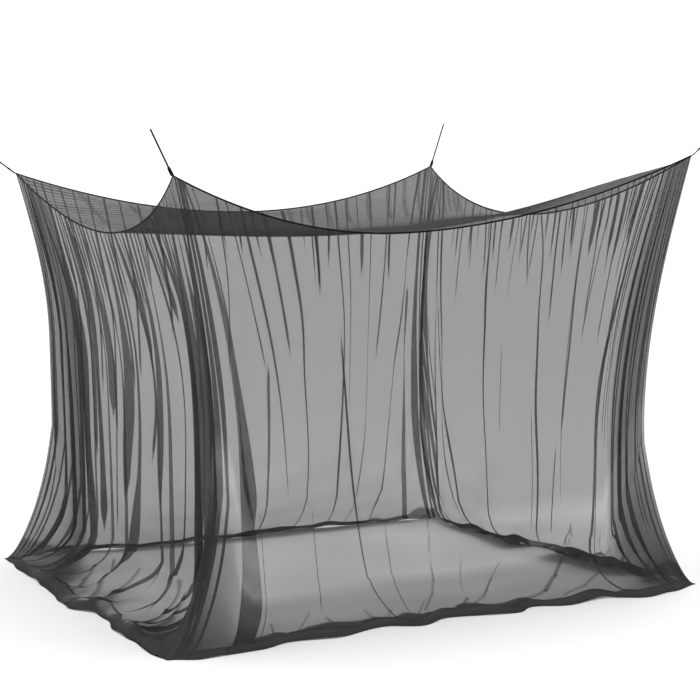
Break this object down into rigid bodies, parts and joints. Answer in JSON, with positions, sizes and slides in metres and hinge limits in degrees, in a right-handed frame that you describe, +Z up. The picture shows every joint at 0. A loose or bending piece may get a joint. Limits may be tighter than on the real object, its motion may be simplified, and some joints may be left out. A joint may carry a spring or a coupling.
{
  "type": "gazebo mosquito net",
  "caption": "Box-shaped net of sheer dark mesh with a sagging roof and long draped walls, hung by corner cords under a gazebo to keep insects out.",
  "frame": {"origin": "on the ground, under the middle of the net", "axes": "+Z up; +X along the front wall from the near corner to the right one; +Y from the front wall to the back one"},
  "size_m": [3.4309, 3.4808, 2.7314],
  "materials": {
    "net": "sheer dark grey polyester net, matt",
    "tape": "woven black binding tape, matt",
    "cord": "braided black cord, matt"
  },
  "bodies": {
    "root": {"roof_panel": "net", "wall_front": "net", "wall_right": "net", "wall_back": "net", "wall_left": "net", "tape_front": "tape", "tape_right": "tape", "tape_back": "tape", "tape_left": "tape", "tab_near": "tape", "tab_right": "tape", "tab_far": "tape", "tab_left": "tape", "cord_near": "cord", "cord_right": "cord", "cord_far": "cord", "cord_left": "cord"}
  },
  "joints": []
}
